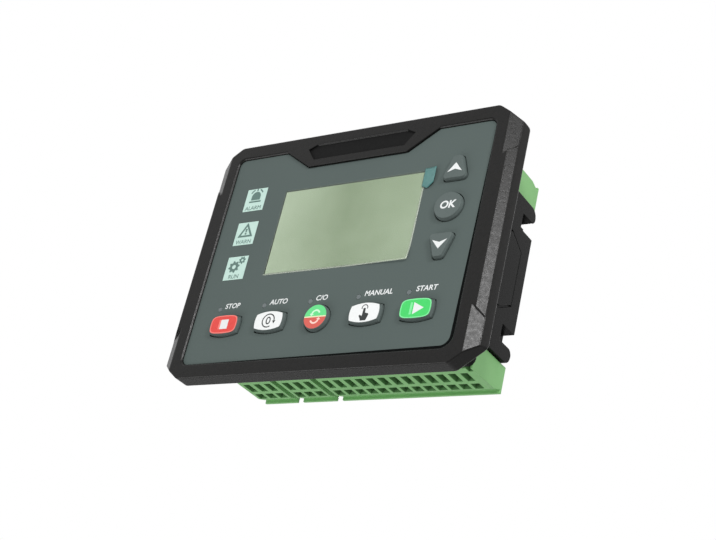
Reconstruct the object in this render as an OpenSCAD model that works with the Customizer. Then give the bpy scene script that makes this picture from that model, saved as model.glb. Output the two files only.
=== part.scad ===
// Panel-mounted controller for a generating set.
// Seen from the front, X runs to the right and Z up, and the face looks towards -Y.
// The origin is the middle of the panel plane, where the bezel's rear face meets the panel.

/* [Bezel] */
// Width of the bezel
bezel_w = 143; // [141:0.5:156]
// Height of the bezel
bezel_h = 106; // [105:0.5:116]
// Depth of the bezel in front of the panel
bezel_d = 7; // [6.5:0.1:8.5]
// Width cut off each corner
corner_w = 10.7; // [8:0.1:12]
// Height cut off each corner
corner_h = 7.9; // [6:0.1:10]
// Radius at both ends of each cut corner
corner_r = 3; // [1:0.1:5]
// Width of the side bevel along its raised middle stretch
side_bevel_w = 3.9; // [3:0.05:4.5]
// Width of the side bevel towards the corners
corner_bevel_w = 6; // [4.5:0.1:7]
// Depth of both side bevels
bevel_d = 3; // [2:0.1:4]
// Lean of the side walls from the panel to the bevels
side_lean = 1; // [0.6:0.1:1.4]
// Straight part of the side walls at the panel
side_edge = 1; // [0.5:0.1:1.5]
// Half height of the raised middle stretch at the front rim
raised_half_h = 30.2; // [24:0.1:32]
// Extra half height of that stretch at its outer edge
raised_slant = 6; // [3:0.1:7]
// Width of the groove for the panel gasket
gasket_w = 3; // [2:0.1:3.5]
// Depth of the groove for the panel gasket
gasket_d = 1.5; // [1:0.1:2]
// Distance from the housing to the gasket groove
gasket_gap = 3.5; // [2.5:0.1:4]

/* [Face] */
// Width of the rim beside the recessed face
rim_w = 10.9; // [10:0.1:11.5]
// Height of the rim above and below the recessed face
rim_h = 6; // [5.6:0.1:6.4]
// Corner radius of the recessed face
face_r = 3; // [2:0.1:5]
// Radius of the face's lower right corner
face_low_right_r = 5; // [3:0.1:6]
// Depth of the face sheet below the front rim
face_recess = 1; // [0.6:0.1:1.4]
// Thickness of the face sheet
overlay_t = 0.5; // [0.3:0.1:0.8]
// Gap all round the face sheet
overlay_gap = 0.15; // [0.1:0.05:0.3]
// Thickness of the bezel's plate behind the face sheet
plate_t = 2; // [1.6:0.1:2.4]
// Width of the tongue at the top edge of the face
tongue_top_w = 71.8; // [66:0.1:80]
// Width of the tongue at its lower edge
tongue_low_w = 46.6; // [44:0.1:56]
// Height of the tongue
tongue_h = 8.6; // [8:0.1:10]
// Width of the shallow recess on the tongue
badge_w = 50.6; // [40:0.1:51]
// Height of the shallow recess on the tongue
badge_h = 7.1; // [6:0.1:8]
// Depth of the shallow recess on the tongue
badge_d = 0.8; // [0.4:0.1:1]
// Height of that recess above the tongue's lower edge
badge_rise = 3; // [2.4:0.1:3.4]
// Width of its slanted ends below their tips
badge_slant = 3.9; // [3:0.1:5]
// Width of its slanted ends above their tips
badge_shoulder = 4; // [3:0.1:5]
// Share of its height below the tips
badge_tip = 0.74; // [0.6:0.02:0.8]

/* [Display] */
// Middle of the display, to the right
lcd_x = 1.05; // [0:0.05:1.2]
// Middle of the display, upwards
lcd_z = 9.35; // [7:0.05:12]
// Width of the display window
lcd_w = 65.1; // [56:0.1:66]
// Height of the display window
lcd_h = 37.3; // [32:0.1:40]
// Border of the window and of the display cell round the opening
window_border = 1.5; // [1:0.1:2]
// Thickness of the window's flange
window_flange_t = 1; // [0.6:0.1:1.2]
// Border of the display cell round the window
cell_border = 3.4; // [2:0.1:3.5]
// Thickness of the display cell
cell_t = 2; // [1.6:0.1:2.4]
// Thickness of the backlight
backlight_t = 2.8; // [2:0.1:3.2]
// Gap between the plate and the display cell
cell_gap = 0.2; // [0.1:0.05:0.3]
// Wall of the frame round the display cell
frame_wall = 1.5; // [1:0.1:1.6]
// Border of the protective film round the window
film_border = 0.6; // [0.3:0.1:1]
// Thickness of the protective film and of its tab
film_t = 0.15; // [0.1:0.05:0.25]
// Width of the film's pull tab
tab_w = 5.2; // [4:0.1:6]
// Height of the film's pull tab
tab_h = 9; // [6:0.1:12]
// Overlap of the tab on the film
tab_grip = 0.9; // [0.6:0.1:2]
// Height of the tab above the display
tab_over = 1.3; // [0.5:0.1:2]
// Height cut off the tab's lower left corner
tab_left_cut = 1.2; // [0.6:0.1:2]
// Height cut off the tab's lower right corner
tab_right_cut = 2.2; // [1:0.1:3]

/* [Indicators] */
// Distance from the indicator windows to the display
indicator_beside = 10.5; // [9.8:0.05:11.2]
// Middle of the centre indicator window, upwards
indicator_z = 10.75; // [9:0.05:13]
// Distance between the indicator windows
indicator_pitch = 15.85; // [15:0.05:17]
// Width of an indicator window
indicator_w = 10.3; // [9:0.1:11]
// Height of an indicator window
indicator_h = 10.7; // [9:0.1:11]
// Diameter of a lamp lens
lens_d = 2; // [1.6:0.1:2.4]
// Distance of a lamp lens to the left of its key
lens_left = 5.4; // [5:0.1:6]
// Height of the lamp lenses above the lower keys
lens_above = 7.7; // [7.6:0.1:9]
// Width of a lamp chip on the board
chip_w = 1.6; // [1.2:0.1:2]
// Height of a lamp chip above the board
chip_t = 0.7; // [0.5:0.1:1]

/* [Keys] */
// Distance between the lower keys
key_pitch = 21.75; // [20:0.05:22]
// Height of the lower keys' row
key_row_z = -31.2; // [-31.5:0.1:-29]
// Width of a lower key at its base
key_w = 14; // [12:0.1:15]
// Height of a lower key at its base
key_h = 9; // [8:0.1:9.5]
// Bulge of a lower key's sides
key_bow_w = 0.5; // [0.3:0.1:0.8]
// Bulge of a lower key's top and bottom
key_bow_h = 1.1; // [0.6:0.1:1.4]
// Diameter of the middle navigation key at its base
nav_key_d = 11.8; // [10:0.1:12]
// Diameter of the transfer key at its base
transfer_key_d = 11; // [9:0.1:11.4]
// Distance from the display to the middle of the navigation keys
nav_beside = 13.8; // [13.2:0.1:13.8]
// Height of the middle navigation key
nav_z = 10.8; // [10.4:0.1:11.6]
// Distance between the navigation keys
nav_pitch = 16.6; // [16.4:0.1:17.2]
// Wide side of the arrow keys
arrow_wide = 9.8; // [9:0.1:10.6]
// Narrow side of the arrow keys
arrow_narrow = 4.8; // [4:0.1:6]
// Height of the arrow keys
arrow_h = 10.4; // [9:0.1:10.6]
// Corner radius of the arrow keys
arrow_r = 1.5; // [1:0.1:2]
// Rise of the keys above the face sheet
key_rise = 1.7; // [1.2:0.1:2]
// Straight part of that rise
key_straight = 0.5; // [0.3:0.1:0.8]
// Slope of the keys' crowns from base to face
key_taper = 0.45; // [0.3:0.05:0.8]
// Running gap round each key
key_gap = 0.35; // [0.3:0.05:0.5]
// Width of the flange that keeps a key in
flange_w = 1.1; // [0.9:0.1:1.3]
// Thickness of that flange
flange_t = 0.5; // [0.4:0.1:0.7]
// Thickness of a contact pill
pill_t = 0.4; // [0.3:0.1:0.6]
// Diameter of a contact pill
pill_d = 5; // [3:0.1:6]
// Gap between a contact pill and the board
pill_gap = 1; // [0.9:0.05:1.2]
// Wall of the collars that guide the keys
collar_t = 2; // [1.8:0.1:2.2]

/* [Housing] */
// Width of the housing
house_w = 116; // [115:0.5:120]
// Height of the housing's front part
house_h = 87.6; // [87:0.1:90]
// Depth of the housing's front part
front_d = 14.5; // [13:0.1:15.2]
// Height of the housing's rear part
step_h = 66; // [64:0.5:68]
// Depth of the whole housing behind the panel
house_d = 36.6; // [35.8:0.1:40]
// Wall of the housing
wall = 2; // [1.6:0.1:2.2]
// Corner radius of the front part
house_r = 3; // [2:0.1:4]
// Radius of the rear part's edges
rear_r = 3.6; // [2:0.1:4]
// Width of the locating tongues at the housing's front edge
tongue_w = 80; // [60:1:90]
// Length of the locating tongues
tongue_len = 2; // [1.5:0.1:2.5]
// Height of a clip slot
clip_h = 6.5; // [6:0.1:7]
// Height of the clip slots' middle above and below the origin
clip_z = 23.55; // [22:0.05:24]
// Length of a clip slot
clip_len = 9.3; // [8:0.1:10]
// Depth of a clip slot
clip_depth = 4.6; // [4.4:0.1:5]
// Wall round a clip slot
clip_wall = 1.4; // [1.2:0.1:1.6]
// Radius of the lug's rear corner beside each clip slot
lug_r = 2.4; // [1:0.1:3]
// Height of the raised side panel
side_panel_h = 31; // [26:0.1:33]
// Height of that panel at its rear edge
side_panel_rear_h = 22; // [18:0.1:25]
// Distance from the panel plane to that panel's rear edge
side_panel_y = 30; // [26:0.1:32]
// Length of that panel's slanted corners
side_panel_cut = 8; // [5:0.1:10]
// Thickness of that panel
side_panel_t = 0.3; // [0.2:0.1:0.6]
// Width of the groove round that panel
side_groove_w = 0.9; // [0.5:0.1:1.1]
// Depth of the groove round that panel
side_groove_d = 0.7; // [0.3:0.1:0.9]

/* [Boards] */
// Thickness of both boards
board_t = 1.6; // [1.2:0.1:2]
// Gap between the boards and the housing walls
board_gap = 1; // [0.6:0.1:1.4]
// Distance of the board screws from the housing's side walls
board_screw_side = 3.5; // [3.2:0.1:3.8]
// Distance of the board screws from the housing's top and bottom walls
board_screw_end = 3; // [2.9:0.1:3.2]
// Diameter of the bosses for the board screws
boss_d = 5.2; // [4.6:0.1:5.4]
// Diameter of the board screws
board_screw_d = 2.5; // [2:0.1:2.6]
// Distance between the spacers, across
spacer_w = 92; // [86:0.5:94]
// Distance between the spacers, up and down
spacer_h = 24; // [20:0.5:26]
// Width of a spacer across its flats
spacer_d = 5.5; // [5:0.1:6]
// Diameter of the rear screws
rear_screw_d = 3; // [2.5:0.1:3]
// Diameter of the rear screws' heads
rear_head_d = 5.6; // [5:0.1:5.8]
// Height of the screws' heads
screw_head_t = 1.8; // [1.4:0.1:2]
// Wall of the posts round the rear screws
post_wall = 1.6; // [1.4:0.1:2]
// Width of a relay
relay_w = 15.4; // [13:0.1:16]
// Height of a relay
relay_h = 19; // [16:0.1:20]
// Thickness of a relay
relay_t = 15.4; // [12:0.1:16]
// Distance between the relays
relay_pitch = 17.5; // [16.5:0.1:18]
// Middle of the relays, upwards
relay_z = 5; // [3:0.1:6]
// Diameter of a capacitor
can_d = 8; // [6:0.1:8.4]
// Height of a capacitor
can_h = 12; // [8:0.1:14]
// Distance between the capacitors
can_pitch = 14; // [10:0.1:18]
// Distance of the capacitors below the middle
can_low = 12; // [10:0.1:13]
// Width of the connector between the boards
connector_w = 34; // [20:0.5:40]
// Height of the connector between the boards
connector_h = 5; // [4:0.1:6]
// Distance of that connector below the middle
connector_low = 14; // [12:0.1:15]
// Place and size of each chip behind the main board
chips = [[-18, 12, 14, 14], [8, 14, 10, 6], [26, 12, 7, 9]];
// Thickness of those chips
control_chip_t = 1.5; // [1:0.1:2]

/* [Terminals] */
// Distance between terminals
pitch = 5.08; // [5:0.01:5.1]
// Middle and number of terminals of each lower plug, from the left
low_plugs = [[-42.8, 3], [-23.75, 3], [20.72, 13]];
// Middle and number of terminals of each upper plug, from the left
high_plugs = [[-33.3, 7], [20.72, 13]];
// End wall of a plug beyond its last terminal
plug_end = 0.55; // [0.4:0.05:0.7]
// Extra end flange at the right of the right-hand plugs
plug_flange = 2.4; // [2:0.1:2.6]
// Gap between the plugs and the housing
plug_gap = 0.4; // [0.3:0.05:0.6]
// Height of a plug outside the housing
plug_h = 10.8; // [10.4:0.1:12]
// Fall of a plug's wire face towards its rear edge
plug_fall = 1.6; // [1:0.1:2]
// Length of the falling stretch of the wire face
plug_fall_len = 5.5; // [5:0.1:6]
// Thickness of a plug's rear lip
lip_t = 1; // [0.8:0.1:1.4]
// Rise of a plug's rear lip
lip_h = 1.4; // [1:0.1:1.6]
// Width of a wire entry
entry_w = 3.6; // [3:0.1:3.8]
// Depth of a wire entry from front to rear
entry_d = 4.2; // [3.8:0.1:4.2]
// Distance of the wire entries from the plug's rear face
entry_back = 7.8; // [7.8:0.1:8.4]
// Depth of the wire entries
entry_deep = 9; // [8:0.1:9.4]
// Width of the slots in front of the wire entries
comb_w = 3; // [2.2:0.1:3.4]
// Length of those slots
comb_len = 6.4; // [5:0.1:6.6]
// Distance of those slots from the plug's front face
comb_front = 3.7; // [3:0.1:3.8]
// Depth of those slots
comb_deep = 5; // [3:0.1:6]
// Width of the pocket at the front of an end flange
pocket_w = 1.8; // [1.4:0.1:2]
// Length of that pocket
pocket_len = 2.6; // [2:0.1:3]
// Wall beside that pocket
pocket_wall = 0.8; // [0.6:0.1:1]
// Diameter of the holes for the screwdriver
driver_d = 3.4; // [3:0.1:3.6]
// Diameter of a clamp screw
clamp_screw_d = 3; // [2.6:0.1:3]
// Length of a clamp screw
clamp_screw_len = 2.6; // [2:0.1:3]
// Height of a wire clamp
clamp_h = 5; // [4:0.1:5.4]
// Wall of a wire clamp
clamp_wall = 0.5; // [0.4:0.1:0.6]
// Depth of a header from front to rear
header_d = 8.4; // [8:0.1:8.8]
// Height of a header
header_h = 11; // [10.4:0.1:11.4]
// Wall of a header
header_wall = 1.2; // [1:0.1:1.3]
// Length of a plug's shoulder inside its header
shoulder_len = 8.6; // [8:0.1:9]
// Fit of a plug inside its header
header_fit = 0.4; // [0.3:0.05:0.5]
// Side of a header pin
pin_w = 1; // [0.8:0.05:1.1]

/* [Hidden] */
$fn = 64;
// Small overlap that lets a cut run past a face
cut = 1;
// Clearance between fixed pieces that seat in each other
seat = 0.1;
// Clearance all round a screw in a through hole
hole_fit = 0.2;
// Gap between the housing's step and the terminal board
io_gap = 0.3;
// Lap of the plate over the flange of an indicator window
indicator_lap = 0.5;
// Gap between a key's flange and the mat
mat_gap = 0.4;
// Reach of the board screws into their bosses, and of the rear screws into the spacers
board_bite = 3;
rear_bite = 5;
// Depth of the rear screws' heads below the housing's rear face
head_sink = 0.8;
// Distance of a pin's end below the header's rim, and of its foot below the header
pin_below = 2;
pin_out = 1.4;

// Front to rear levels
front_y = -bezel_d;
face_y = front_y + face_recess;
plate_y = face_y + overlay_t;
plate_back = plate_y + plate_t;
main_y = plate_back + cell_gap + cell_t + backlight_t;
main_back = main_y + board_t;
io_y = front_d + io_gap;
io_back = io_y + board_t;
rear_in = house_d - wall;

// Openings and levels that follow from the driving sizes
face_w = bezel_w - 2 * rim_w;
face_h = bezel_h - 2 * rim_h;
indicator_x = lcd_x - lcd_w / 2 - indicator_beside - indicator_w / 2;
nav_x = lcd_x + lcd_w / 2 + nav_beside;
open_w = house_w - 2 * wall;
open_h = house_h - 2 * wall;
wall_z = step_h / 2;
key_front = face_y - key_rise;
crown_y = face_y - key_straight;
pill_y = main_y - pill_gap - pill_t;
flange_y = pill_y - flange_t;
collar_y = flange_y - seat;
mat_hole = flange_w + mat_gap;
window_y = plate_y + window_flange_t;
tongue_t = board_gap - 2 * seat;
board_core_d = board_screw_d - 0.5;
rear_head_y = house_d - screw_head_t - head_sink;
boss_at = [open_w / 2 - board_screw_side, open_h / 2 - board_screw_end];
spacer_at = [spacer_w / 2, spacer_h / 2];
cell_w = lcd_w + 2 * cell_border;
cell_h = lcd_h + 2 * cell_border;
frame_fit = 0.2;
frame_border = frame_fit + frame_wall;

// Plugs and headers, measured upwards from the housing's upper step
plug_y0 = front_d + plug_gap;
plug_y1 = house_d + plug_gap;
plug_z0 = wall_z + plug_gap;
plug_z1 = plug_z0 + plug_h;
entry_y = plug_y1 - entry_back;
entry_z = plug_z1 - entry_deep;
clamp_z = entry_z + clamp_h / 2;
header_y1 = io_back + header_d;
pin_y = io_back + header_d / 2;
header_z0 = wall_z - header_h;
shoulder_z = plug_z0 - shoulder_len;
pin_top = wall_z - pin_below;
pin_foot = header_z0 - pin_out;

bezel_colour = [0.17, 0.17, 0.17];
face_colour = [0.38, 0.43, 0.42];
plug_colour = [0.45, 0.68, 0.42];
board_colour = [0.1, 0.35, 0.2];
metal_colour = [0.75, 0.75, 0.74];

// Shared forms

// Extrudes a front-view outline from y0 to y1
module slab(y0, y1) {
  translate([0, y1, 0])
    rotate([90, 0, 0])
      linear_extrude(y1 - y0)
        children();
}

// Extrudes a side-view outline from x0 to x1
module bar(x0, x1) {
  translate([x0, 0, 0])
    rotate([90, 0, 90])
      linear_extrude(x1 - x0)
        children();
}

// Cylinder along Y
module rod(d, y0, y1) {
  slab(y0, y1) circle(d / 2);
}

// Rectangle with its own radius at each corner, clockwise from the upper left
module round_rect(w, h, radii) {
  signs = [[-1, 1], [1, 1], [1, -1], [-1, -1]];
  difference() {
    square([w, h], center = true);
    for (i = [0:3])
      translate([signs[i].x * (w / 2 - radii[i]), signs[i].y * (h / 2 - radii[i])])
        difference() {
          translate([signs[i].x > 0 ? 0 : -radii[i] - cut, signs[i].y > 0 ? 0 : -radii[i] - cut])
            square(radii[i] + cut);
          circle(radii[i]);
        }
  }
}

// Rectangle with four equal corner radii
module soft_rect(w, h, r) {
  round_rect(w, h, [r, r, r, r]);
}

// Copies to the four corners of a rectangle of half sizes at
module at_corners(at) {
  for (sx = [-1, 1], sz = [-1, 1])
    translate([sx * at.x, 0, sz * at.y])
      children();
}

// Radius of an arc from its half chord and its rise
function arc_radius(half_chord, rise) = (half_chord ^ 2 + rise ^ 2) / (2 * rise);

// Rectangle whose four sides bulge outwards
module barrel(w, h) {
  top_r = arc_radius(w / 2 - key_bow_w, key_bow_h);
  side_r = arc_radius(h / 2 - key_bow_h, key_bow_w);
  intersection() {
    translate([0, h / 2 - top_r]) circle(top_r, $fn = 96);
    translate([0, top_r - h / 2]) circle(top_r, $fn = 96);
    translate([w / 2 - side_r, 0]) circle(side_r, $fn = 96);
    translate([side_r - w / 2, 0]) circle(side_r, $fn = 96);
  }
}

// Points of an arc about a centre, from angle a0 to angle a1
function arc(centre, r, a0, a1, steps = 6) =
  [for (i = [0:steps]) centre + r * [cos(a0 + (a1 - a0) * i / steps), sin(a0 + (a1 - a0) * i / steps)]];

// Arrow key's outline, wide at the bottom, grown by g
module arrow(g) {
  low = arrow_wide / 2 - arrow_r;
  high = arrow_narrow / 2 - arrow_r;
  half = arrow_h / 2 - arrow_r;
  lean = atan2(low - high, 2 * half);
  r = arrow_r + g;
  polygon(concat(
    arc([low, -half], r, -90, lean), arc([high, half], r, lean, 90),
    arc([-high, half], r, 90, 180 - lean), arc([-low, -half], r, 180 - lean, 270)
  ));
}

// Outline of a key at its base, grown by g
module key_outline(kind, g) {
  if (kind == "barrel") barrel(key_w + 2 * g, key_h + 2 * g);
  if (kind == "middle") circle(nav_key_d / 2 + g);
  if (kind == "transfer") circle(transfer_key_d / 2 + g);
  if (kind == "up") arrow(g);
  if (kind == "down") mirror([0, 1]) arrow(g);
}

KEYS = [
  ["up", nav_x, nav_z + nav_pitch], ["middle", nav_x, nav_z], ["down", nav_x, nav_z - nav_pitch],
  ["barrel", -2 * key_pitch, key_row_z], ["barrel", -key_pitch, key_row_z], ["transfer", 0, key_row_z],
  ["barrel", key_pitch, key_row_z], ["barrel", 2 * key_pitch, key_row_z]
];

// Outlines of all keys in their places, grown by g
module key_outlines(g) {
  for (k = KEYS)
    translate([k[1], k[2]])
      key_outline(k[0], g);
}

// Places of the lamp lenses, one by each lower key
LENSES = [for (i = [-2:2]) [i * key_pitch - lens_left, key_row_z + lens_above]];

// Places of the indicator windows, from the top
INDICATORS = [for (i = [1:-1:-1]) [indicator_x, indicator_z + i * indicator_pitch]];

// Copies to a list of places in the front view
module at_places(places) {
  for (p = places)
    translate(p)
      children();
}

// Bezel and gasket

// Rectangle with its corners cut off at a slant, and an arc at both ends of each cut
module bezel_outline() {
  x = bezel_w / 2;
  z = bezel_h / 2;
  slant = atan2(corner_w, corner_h);
  side_reach = corner_r * tan(slant / 2);
  end_reach = corner_r * tan((90 - slant) / 2);
  side_arc = [x - corner_r, z - corner_h - side_reach];
  end_arc = [x - corner_w - end_reach, z - corner_r];
  quarter = concat(arc(side_arc, corner_r, 0, slant), arc(end_arc, corner_r, slant, 90));
  back = [for (i = [len(quarter) - 1:-1:0]) quarter[i]];
  polygon(concat(
    quarter,
    [for (p = back) [-p.x, p.y]],
    [for (p = quarter) [-p.x, -p.y]],
    [for (p = back) [p.x, -p.y]]
  ));
}

// What a bevel of width w and the leaning wall behind it take off the right-hand side
module bevel_wedge(w) {
  x = bezel_w / 2;
  translate([0, 0, -bezel_h])
    linear_extrude(2 * bezel_h)
      polygon([
        [x - w, front_y - cut], [x - w, front_y], [x - side_lean, front_y + bevel_d], [x, -side_edge],
        [x + cut, -side_edge], [x + cut, front_y - cut]
      ]);
}

// What the side bevel leaves standing along its raised middle stretch
module raised_limit() {
  x0 = bezel_w / 2 - corner_bevel_w;
  x1 = bezel_w / 2 + cut;
  z0 = raised_half_h;
  z1 = raised_half_h + raised_slant * (x1 - x0) / corner_bevel_w;
  slab(front_y - 2 * cut, 0)
    polygon([[x0, -z0], [x0, z0], [x1, z1], [x1, -z1]]);
}

module side_facets() {
  difference() {
    bevel_wedge(corner_bevel_w);
    raised_limit();
  }
  intersection() {
    bevel_wedge(side_bevel_w);
    raised_limit();
  }
}

// Face outline with the tongue left out, drawn in by g
module face_outline(g) {
  top = face_h / 2;
  difference() {
    round_rect(face_w - 2 * g, face_h - 2 * g,
               [face_r - g, face_r - g, face_low_right_r - g, face_r - g]);
    polygon([
      [-tongue_top_w / 2 - g, top + cut], [-tongue_top_w / 2 - g, top - g],
      [-tongue_low_w / 2 - g, top - tongue_h - g], [tongue_low_w / 2 + g, top - tongue_h - g],
      [tongue_top_w / 2 + g, top - g], [tongue_top_w / 2 + g, top + cut]
    ]);
  }
}

// Bare recess on the tongue, with slanted ends
module badge_recess() {
  x = badge_w / 2;
  low = face_h / 2 - tongue_h + badge_rise;
  tip = low + badge_tip * badge_h;
  high = low + badge_h;
  polygon([
    [badge_slant - x, low], [x - badge_slant, low], [x, tip],
    [x - badge_shoulder, high], [badge_shoulder - x, high], [-x, tip]
  ]);
}

// Ring of the gasket groove, drawn in by g on both sides
module gasket_ring(g) {
  w = house_w + 2 * gasket_gap;
  h = house_h + 2 * gasket_gap;
  difference() {
    soft_rect(w + 2 * gasket_w - 2 * g, h + 2 * gasket_w - 2 * g, house_r + gasket_gap - g);
    soft_rect(w + 2 * g, h + 2 * g, house_r + g);
  }
}

module front_bezel() {
  color(bezel_colour) {
    difference() {
      slab(front_y, 0) bezel_outline();
      side_facets();
      mirror([1, 0, 0]) side_facets();
      slab(front_y - cut, plate_y) face_outline(0);
      slab(front_y - cut, front_y + badge_d) badge_recess();
      slab(plate_back, cut) soft_rect(open_w, open_h, house_r);
      slab(-gasket_d, cut) gasket_ring(0);
      slab(plate_y - cut, window_y)
        translate([lcd_x, lcd_z])
          square([lcd_w, lcd_h] + 2 * [window_border, window_border], center = true);
      slab(plate_y - cut, plate_back + cut)
        translate([lcd_x, lcd_z]) square([lcd_w, lcd_h], center = true);
      slab(plate_y - cut, window_y)
        at_places(INDICATORS)
          square([indicator_w, indicator_h] + 2 * [indicator_lap, indicator_lap], center = true);
      slab(plate_y - cut, plate_back + cut)
        at_places(INDICATORS)
          square([indicator_w, indicator_h] - 2 * [indicator_lap, indicator_lap], center = true);
      slab(plate_y - cut, plate_back + cut) at_places(LENSES) circle(lens_d / 2 + seat);
      slab(plate_y - cut, plate_back + cut) key_outlines(key_gap);
    }
    // Collars that guide the keys, and bosses for the board screws
    difference() {
      union() {
        slab(plate_back, collar_y)
          difference() {
            key_outlines(key_gap + collar_t);
            key_outlines(key_gap);
            at_places(LENSES) circle(lens_d / 2 + seat);
          }
        at_corners(boss_at) rod(boss_d, plate_back, main_y);
      }
      at_corners(boss_at) rod(board_core_d + seat, main_y - board_bite - seat, main_y + cut);
    }
  }
}

module panel_gasket() {
  color([0.1, 0.1, 0.1])
    slab(-gasket_d, 0)
      gasket_ring(seat);
}

// Face sheet, windows and film

module face_overlay() {
  color(face_colour)
    slab(face_y, plate_y)
      difference() {
        face_outline(overlay_gap);
        translate([lcd_x, lcd_z]) square([lcd_w, lcd_h], center = true);
        at_places(INDICATORS) square([indicator_w, indicator_h], center = true);
        at_places(LENSES) circle(lens_d / 2 + seat);
        key_outlines(key_gap);
      }
}

// Clear window whose flange sits in the plate behind the face sheet
module flanged_window(w, h, border) {
  slab(face_y, plate_y) square([w - 2 * seat, h - 2 * seat], center = true);
  slab(plate_y, window_y) square([w + 2 * border - 2 * seat, h + 2 * border - 2 * seat], center = true);
}

module lcd_window() {
  color([0.75, 0.8, 0.72, 0.4])
    translate([lcd_x, 0, lcd_z])
      flanged_window(lcd_w, lcd_h, window_border);
}

module protective_film() {
  color([0.9, 0.95, 0.95, 0.3])
    slab(face_y - film_t, face_y)
      translate([lcd_x, lcd_z])
        square([lcd_w + 2 * film_border, lcd_h + 2 * film_border], center = true);
}

// Pull tab stuck to the film's right edge, its lower end cut at a slant
module film_tab() {
  left = lcd_x + lcd_w / 2 + film_border - tab_grip;
  right = left + tab_w;
  top = lcd_z + lcd_h / 2 + tab_over;
  low = top - tab_h;
  color([0.3, 0.58, 0.57])
    slab(face_y - 2 * film_t, face_y - film_t)
      polygon([
        [left, low + tab_left_cut], [left, top], [right, top], [right, low + tab_right_cut],
        [(left + right) / 2, low]
      ]);
}

module indicator_window(i) {
  color([0.74, 0.87, 0.82, 0.8])
    translate([INDICATORS[i].x, 0, INDICATORS[i].y])
      flanged_window(indicator_w, indicator_h, indicator_lap);
}

module alarm_window() {
  indicator_window(0);
}

module warning_window() {
  indicator_window(1);
}

module running_window() {
  indicator_window(2);
}

module lamp_lenses() {
  color([0.6, 0.62, 0.6])
    slab(face_y, plate_back)
      at_places(LENSES) circle(lens_d / 2);
}

// Display behind the plate

module lcd_glass() {
  color([0.66, 0.72, 0.6])
    slab(plate_back + cell_gap, plate_back + cell_gap + cell_t)
      translate([lcd_x, lcd_z]) square([cell_w, cell_h], center = true);
}

module lcd_backlight() {
  color([0.9, 0.92, 0.9])
    slab(main_y - backlight_t, main_y)
      translate([lcd_x, lcd_z]) square([cell_w, cell_h], center = true);
}

module lcd_frame() {
  inside = [cell_w, cell_h] + 2 * [frame_fit, frame_fit];
  color([0.2, 0.2, 0.2])
    slab(plate_back + cell_gap, main_y)
      translate([lcd_x, lcd_z])
        difference() {
          square(inside + 2 * [frame_wall, frame_wall], center = true);
          square(inside, center = true);
        }
}

// Keypad

// Mat in the form of an L, along the lower keys and up the navigation keys
module keypad_mat() {
  edge = 0.9;
  side_gap = 0.6;
  frame_gap = 0.3;
  boss_gap = 0.4;
  row_half_h = max(key_h, transfer_key_d) / 2 + mat_hole + edge;
  low = key_row_z - row_half_h;
  high = key_row_z + row_half_h;
  row_half_w = 2 * key_pitch + key_w / 2 + mat_hole + edge;
  nav_left = lcd_x + cell_w / 2 + frame_border + frame_gap;
  nav_right = open_w / 2 - side_gap;
  nav_top = nav_z + nav_pitch + arrow_h / 2 + mat_hole + edge;
  color([0.3, 0.33, 0.33])
    slab(collar_y, main_y)
      difference() {
        union() {
          translate([-row_half_w, low]) square([2 * row_half_w, high - low]);
          translate([nav_left, key_row_z]) square([nav_right - nav_left, nav_top - key_row_z]);
        }
        key_outlines(mat_hole);
        at_places(LENSES) square(chip_w + 1, center = true);
        for (sx = [-1, 1], sz = [-1, 1])
          translate([sx * boss_at.x, sz * boss_at.y]) circle(boss_d / 2 + boss_gap);
      }
}

// Sloping crown of a key, from the level of its straight part to its front
module key_crown(kind) {
  skin = 0.05;
  if (kind == "middle" || kind == "transfer") {
    r = (kind == "middle" ? nav_key_d : transfer_key_d) / 2;
    translate([0, crown_y, 0])
      rotate([90, 0, 0])
        cylinder(crown_y - key_front, r, r - key_taper);
  } else {
    hull() {
      slab(crown_y - skin, crown_y) key_outline(kind, 0);
      slab(key_front, key_front + skin) key_outline(kind, -key_taper);
    }
  }
}

// Key with a sloping crown, a flange that keeps it in, and a contact pill
module key(i, colour) {
  kind = KEYS[i][0];
  color(colour)
    translate([KEYS[i][1], 0, KEYS[i][2]]) {
      key_crown(kind);
      slab(crown_y, flange_y) key_outline(kind, 0);
      slab(flange_y, pill_y) key_outline(kind, flange_w);
      rod(pill_d, pill_y, pill_y + pill_t);
    }
}

module key_up() {
  key(0, face_colour);
}

module key_ok() {
  key(1, face_colour);
}

module key_down() {
  key(2, face_colour);
}

module key_stop() {
  key(3, [0.9, 0.3, 0.28]);
}

module key_auto() {
  key(4, [0.92, 0.93, 0.92]);
}

module key_transfer() {
  key(5, [0.45, 0.8, 0.55]);
}

module key_manual() {
  key(6, [0.92, 0.93, 0.92]);
}

module key_start() {
  key(7, [0.3, 0.8, 0.45]);
}

// Boards

module main_board() {
  color(board_colour)
    slab(main_y, main_back)
      difference() {
        soft_rect(open_w - 2 * board_gap, open_h - 2 * board_gap, house_r);
        for (sx = [-1, 1], sz = [-1, 1])
          translate([sx * boss_at.x, sz * boss_at.y]) circle(board_screw_d / 2 + seat);
      }
}

module board_screws() {
  color(metal_colour)
    at_corners(boss_at) {
      rod(board_screw_d + 2, main_back, main_back + screw_head_t);
      rod(board_core_d, main_y - board_bite, main_back);
    }
}

// Lamp chips behind the indicator windows and behind the lamp lenses
module lamp_chips() {
  color([0.9, 0.9, 0.8])
    slab(main_y - chip_t, main_y) {
      at_places(LENSES) square([chip_w, chip_w / 2], center = true);
      at_places(INDICATORS) square([2 * chip_w, 2 * chip_w], center = true);
    }
}

// Processor and two smaller chips on the back of the main board
module control_chips() {
  color([0.12, 0.12, 0.12])
    slab(main_back, main_back + control_chip_t)
      for (c = chips)
        translate([c[0], c[1]]) square([c[2], c[3]], center = true);
}

module board_connector() {
  color([0.15, 0.15, 0.15])
    slab(main_back, io_y)
      translate([0, -connector_low]) square([connector_w, connector_h], center = true);
}

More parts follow.
